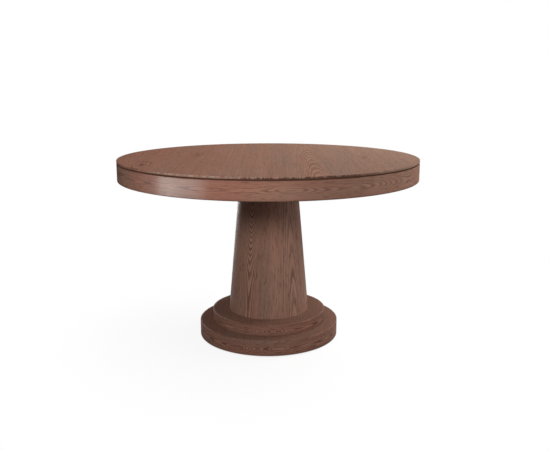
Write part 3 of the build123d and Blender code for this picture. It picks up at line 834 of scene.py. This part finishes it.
class TABLE_OT_top_boards(Operator):
    """Make the six facing boards of the top, with their rounded and brushed lip"""
    bl_idname = "table.top_boards"
    bl_label = "Top boards"

    def execute(self, context):
        material = stained_oak("top", lip=True)
        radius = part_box(BOARDS[-1])[1].x
        for number, node in enumerate(BOARDS):
            low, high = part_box(node)
            eased = (number > 0, number + 1 < len(BOARDS))
            rows, wear = board_rows(low.x, high.x, radius, low.z, high.z, eased)
            middle = (low.x + high.x) / 2
            wood = sawn(node, rows[..., 1], rows[..., 0] - middle, rows[..., 2] - high.z)
            oak_piece(node, rows, material, wear=wear, **wood)
        return {"FINISHED"}


def band_piece(node, outline, step, material):
    """Make a bent band: its outline carried round the axis, with the grain along the bend. Its painted shade
    falls off from the lower arris in a bell curve, and rises over the stretch where more shade is painted."""
    rows, radii, heights, turns = carried_round(node, outline, step)
    face = outline[:, 0].max()
    along = turns * face
    middle = (outline[:, 1].min() + outline[:, 1].max()) / 2
    wood = sawn(node, along, heights - middle, radii - face)
    # Painted shade along the lower arris, and over the listed stretch of the apron.
    wood["painted_shade"] = np.exp(-((heights - outline[:, 1].min()) / PAINTED_SHADE_RISE) ** 2)
    if node in PAINTED_SHADE_STRETCHES:
        wood["painted_shade"] = np.clip(wood["painted_shade"] + PAINTED_SHADE_AMOUNT * stretch(along, *PAINTED_SHADE_STRETCHES[node]), 0, 1)
    if node in RUBS:
        wood["rub"] = RUB_COAT * stretch(along, *RUBS[node])
    oak_piece(node, rows, material, **wood)


class TABLE_OT_apron(Operator):
    """Make the bent band under the top in its three lengths"""
    bl_idname = "table.apron"
    bl_label = "Apron"

    def execute(self, context):
        core_low, core_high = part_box("top_core")
        ledge = core_high.x + CORE_GAP
        material = stained_oak("apron", highlit=True)
        for node in APRON:
            low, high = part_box(node)
            outer = np.hypot(*vertices_of(node)[:, :2].T).max()
            inner = outer - sizes().apron_thickness
            corners = [(inner, low.z), (outer, low.z), (outer, high.z), (ledge, high.z), (ledge, core_low.z),
                       (inner, core_low.z)]
            rounds = [sizes().apron_round, sizes().apron_base, sizes().apron_round, 0, 0, 0]
            band_piece(node, rounded_outline(corners, rounds, OUTLINE_STEP), APRON_STEP, material)
        return {"FINISHED"}


class TABLE_OT_column(Operator):
    """Make the five tapered panels of the column"""
    bl_idname = "table.column"
    bl_label = "Column"

    def execute(self, context):
        material = stained_oak("column")
        for node in PANELS:
            low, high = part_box(node)
            bottom = outer_radius(node, low.z)
            top = outer_radius(node, high.z)
            wall = sizes().column_wall
            corners = [(bottom - wall, low.z), (bottom, low.z), (top, high.z), (top - wall, high.z)]
            outline = rounded_outline(corners, [PANEL_ROUND] * 4, OUTLINE_STEP)
            rows, radii, heights, turns = carried_round(node, outline, BAND_STEP)
            face = bottom + (heights - low.z) / (high.z - low.z) * (top - bottom)
            oak_piece(node, rows, material, **sawn(node, heights, turns * face, radii - face))
        return {"FINISHED"}


class TABLE_OT_plinths(Operator):
    """Make the bands round the two plinths and veneer their discs"""
    bl_idname = "table.plinths"
    bl_label = "Plinths"

    def execute(self, context):
        material = stained_oak("plinth")
        for node in BANDS:
            low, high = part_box(node)
            outer = max(abs(low.x), abs(high.x))
            inner = outer - sizes().band_thickness
            corners = [(inner, low.z), (outer, low.z), (outer, high.z), (inner, high.z)]
            rounds = [0.0, sizes().plinth_round, sizes().plinth_round, 0.0]
            band_piece(node, rounded_outline(corners, rounds, OUTLINE_STEP), BAND_STEP, material)
        dress(PLINTH_CORES, stained_oak("veneer", flat_veneer))
        return {"FINISHED"}


def turned_piece(name, node, body, outline, shape, count, material):
    """Make a piece by carrying an outline once round the node's upright axis; shape gives the radius from the
    outline's radius and height and the angle, so it can flute or thread the surface."""
    low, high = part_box(node)
    angles = np.arange(count)[:, None] / count * 2 * math.pi
    radii = shape(outline[:, 0], outline[:, 1], angles)
    heights = np.broadcast_to(outline[:, 1], radii.shape)
    rows = cartesian(radii, heights, np.broadcast_to(angles, radii.shape))
    rows = rows + np.array([(low.x + high.x) / 2, (low.y + high.y) / 2, 0.0])
    add_piece(name, lofted(name, rows, wrapped=True), material, body, node)


class TABLE_OT_feet(Operator):
    """Make the four levelling feet: fluted pads and threaded studs"""
    bl_idname = "table.feet"
    bl_label = "Levelling feet"

    def execute(self, context):
        plastic = nylon()
        steel = zinc()
        for corner in CORNERS:
            self.pad(corner, plastic)
            self.stud(corner, steel)
        return {"FINISHED"}

    def pad(self, corner, material):
        """A flat rim with shallow flutes, tapering to the neck round the stud."""
        node = f"leveller_pad_{corner}"
        low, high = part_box(node)
        stud_low, stud_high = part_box(f"leveller_stud_{corner}")
        rim = (high.x - low.x) / 2
        bore = (stud_high.x - stud_low.x) / 2 + STUD_GAP
        neck = NECK_SHARE * rim
        shoulder = (low.z + high.z) / 2
        corners = [(bore, low.z), (rim, low.z), (rim, shoulder), (neck, high.z), (bore, high.z)]
        outline = rounded_outline(corners, FOOT_ROUNDS, FOOT_STEP)

        def fluted(radii, heights, angles):
            edge = np.clip((radii - neck) / (rim - neck), 0, 1)
            return radii - sizes().flute_depth * edge * np.cos(FLUTES / 2 * angles) ** FLUTE_POWER

        turned_piece(f"nylon_{node}", node, f"leveller_{corner}", outline, fluted, FOOT_POINTS, material)

    def stud(self, corner, material):
        """A rod whose radius dips once per pitch along a helix."""
        node = f"leveller_stud_{corner}"
        low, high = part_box(node)
        radius = (high.x - low.x) / 2
        pitch = sizes().thread_pitch
        count = math.ceil((high.z - low.z) / pitch * POINTS_PER_PITCH)
        side = np.stack([np.full(count, radius), np.linspace(low.z, high.z, count)], axis=1)
        axis = np.array([[0.0, high.z], [0.0, low.z]])

        def threaded(radii, heights, angles):
            turn = heights / pitch - angles / (2 * math.pi)
            dip = np.abs(2 * (turn - np.floor(turn)) - 1)
            return np.where(radii > 0, radii - sizes().thread_depth * (1 - dip), 0.0)

        outline = np.concatenate([side, axis])
        turned_piece(f"threaded_{node}", node, f"leveller_{corner}", outline, threaded, STUD_POINTS, material)


class TABLE_OT_hidden_woods(Operator):
    """Finish the plywood and beech that show from below"""
    bl_idname = "table.hidden_woods"
    bl_label = "Plywood and beech"

    def execute(self, context):
        dress(PLYWOOD, plywood())
        dress(BEECH, beech())
        return {"FINISHED"}


class TABLE_OT_hardware(Operator):
    """Finish the bolts, washers, inserts, screws and the tie rod"""
    bl_idname = "table.hardware"
    bl_label = "Steel hardware"

    def execute(self, context):
        dress(STEEL, bpy.data.materials.get("zinc_plate") or zinc())
        return {"FINISHED"}


# Stage

# A lamp is a soft panel: where it stands, what it faces, its width and height, how bright it is, and the
# angle over which it shines, in degrees.
Lamp = namedtuple("Lamp", "place target size brightness spread", defaults=(180,))
LAMPS = {
    "overhead": Lamp((1.8, 1.1, 2.5), (0.0, 0.0, 0.76), (1.6, 1.4), 11.5),
    "front": Lamp((0.0, -3.35, 1.82), (0.0, -0.2, 0.5), (1.0, 0.62), 27.7),
    "front_left": Lamp((-1.6, -3.0, 1.72), (0.0, -0.2, 0.5), (1.0, 0.62), 13.4),
    "left": Lamp((-1.482, -0.833, 0.541), (-0.330, -0.522, 0.72), (0.60, 0.16), 6.8, 40),
    "left_front": Lamp((-1.328, -1.352, 0.541), (-0.250, -0.565, 0.72), (0.60, 0.16), 5.4, 40),
    "right": Lamp((2.4, -0.9, 0.92), (0.0, 0.0, 0.46), (1.0, 0.5), 13.8, 50),
    "right_back": Lamp((2.2, 0.9, 1.8), (0.0, 0.0, 0.3), (1.0, 1.0), 6.3),
    "back": Lamp((-0.4, 3.0, 0.42), (0.0, 0.0, 0.42), (1.6, 0.7), 11.0, 60),
    "back_left": Lamp((-1.5, 2.7, 0.20), (0.0, 0.0, 0.44), (1.6, 0.3), 21.0, 60),
}

# Half the floor's width. By distance from the axis: where its white starts, how that grows, and where its
# glow ends. Then the glow's strength, and the floor's grey where it takes shade.
FLOOR_HALF = 40.0
FLOOR_EDGE = (0.285, 0.297)
FLOOR_FADE = (0.25, 1.0, 0.88, 1.0)
GLOW_EDGE = (0.286, 0.294)
GLOW = 0.6
SHADED = (0.9, 0.9, 0.9, 1.0)
# Width of the camera's sensor in millimetres.
SENSOR = 36.0


class TABLE_OT_stage(Operator):
    """Make the floor, the lamps, the white surroundings and the camera of the photo"""
    bl_idname = "table.stage"
    bl_label = "Stage"

    def execute(self, context):
        scene = context.scene
        scene.view_settings.view_transform = "Standard"
        scene.world = self.surroundings()
        scene.camera = self.camera()
        self.floor()
        for name, lamp in LAMPS.items():
            self.lamp(name, lamp)
        return {"FINISHED"}

    def floor(self):
        """A level sheet under the table."""
        corners = FLOOR_HALF * np.array([(-1, -1, 0), (1, -1, 0), (1, 1, 0), (-1, 1, 0)])
        mesh = bpy.data.meshes.new("floor")
        mesh.from_pydata(corners, [], [(0, 1, 2, 3)])
        floor = linked("floor", mesh)
        mesh.materials.append(self.floor_finish())

    def floor_finish(self):
        """White to the camera but for the table's shadow, grey to other rays, and clear from below. Under the
        base it gives off a little light, so that the underside can be seen."""
        paper = Finish("pale_floor")
        away = paper.vector("LENGTH", paper.object_place())
        in_view = paper.in_view()
        clear_of = paper.times(paper.band(away, *FLOOR_EDGE), paper.band(away, *FLOOR_FADE))
        grey = (*[look().floor_grey] * 3, 1.0)
        matte = paper.add("BsdfDiffuse", {"Color": grey})[0]
        glow = paper.add("Emission", {"Strength": GLOW})[0]
        pale = paper.add("BsdfDiffuse", {"Color": SHADED})[0]
        white = paper.add("Emission", {"Color": WHITE, "Strength": 1.0})[0]
        clear = paper.add("BsdfTransparent")[0]
        behind = paper.add("NewGeometry")["Backfacing"]
        unseen = paper.blend(paper.band(away, *GLOW_EDGE), glow, matte)
        near = paper.blend(in_view, unseen, pale)
        front = paper.blend(paper.times(in_view, clear_of), near, white)
        return paper.shown(paper.blend(behind, front, clear))

    def surroundings(self):
        """White where it is seen or mirrored, and a dim even light otherwise."""
        sky = Finish("surroundings", world=True)
        inputs = {"Value": sky.in_view(), "To Min": look().ambient}
        strength = sky.add("MapRange", inputs)[0]
        white = sky.add("Background", {"Color": WHITE, "Strength": strength})[0]
        return sky.shown(white, "OutputWorld")

    def lamp(self, name, lamp):
        """A soft panel whose power gives its face the wanted brightness: pi times area times brightness, less
        what a narrow spread gathers, the tangent of half its angle over that tangent less the half angle."""
        width, height = lamp.size
        light = bpy.data.lights.new(name, "AREA")
        light.shape = "RECTANGLE"
        light.size = width
        light.size_y = height
        half = math.radians(lamp.spread) / 2
        gathered = math.tan(half) / (math.tan(half) - half) if lamp.spread < 180 else 1.0
        light.spread = 2 * half
        light.energy = math.pi * width * height * lamp.brightness / gathered
        panel = linked(name, light)
        panel.location = lamp.place
        panel.rotation_euler = (Vector(lamp.target) - Vector(lamp.place)).to_track_quat("-Z", "Y").to_euler()

    def camera(self):
        """The photo's camera, in front of the table, looking down and a little to the right."""
        data = bpy.data.cameras.new("camera")
        data.sensor_fit = "HORIZONTAL"
        data.sensor_width = SENSOR
        data.lens = look().lens
        camera = linked("camera", data)
        camera.location = (0.0, -look().camera_back, look().camera_height)
        camera.rotation_euler = (math.pi / 2 - look().camera_pitch, 0.0, -look().camera_yaw)
        return camera


class TABLE_PT_pieces(Panel):
    """Lists the steps that dress the table"""
    bl_label = "Round pedestal table"
    bl_idname = "TABLE_PT_pieces"
    bl_space_type = "VIEW_3D"
    bl_region_type = "UI"
    bl_category = "Table"

    def draw(self, context):
        for step in STEPS:
            self.layout.operator(step.bl_idname)


STEPS = [
    TABLE_OT_top_boards, TABLE_OT_apron, TABLE_OT_column, TABLE_OT_plinths, TABLE_OT_feet,
    TABLE_OT_hidden_woods, TABLE_OT_hardware, TABLE_OT_stage,
]
GROUPS = {
    "table_sizes": TableSizes,
    "table_oak": OakFinish,
    "table_hidden": HiddenFinish,
    "table_stage": StageLook,
}
CLASSES = [*GROUPS.values(), *STEPS, TABLE_PT_pieces]


def register():
    add_part_finishes()
    for kind in CLASSES:
        bpy.utils.register_class(kind)
    for name, kind in GROUPS.items():
        setattr(bpy.types.Scene, name, PointerProperty(type=kind))


def unregister():
    for name in GROUPS:
        delattr(bpy.types.Scene, name)
    for kind in reversed(CLASSES):
        bpy.utils.unregister_class(kind)


def main():
    register()
    bpy.ops.table.top_boards()
    bpy.ops.table.apron()
    bpy.ops.table.column()
    bpy.ops.table.plinths()
    bpy.ops.table.feet()
    bpy.ops.table.hidden_woods()
    bpy.ops.table.hardware()
    bpy.ops.table.stage()


if __name__ == "__main__":
    main()
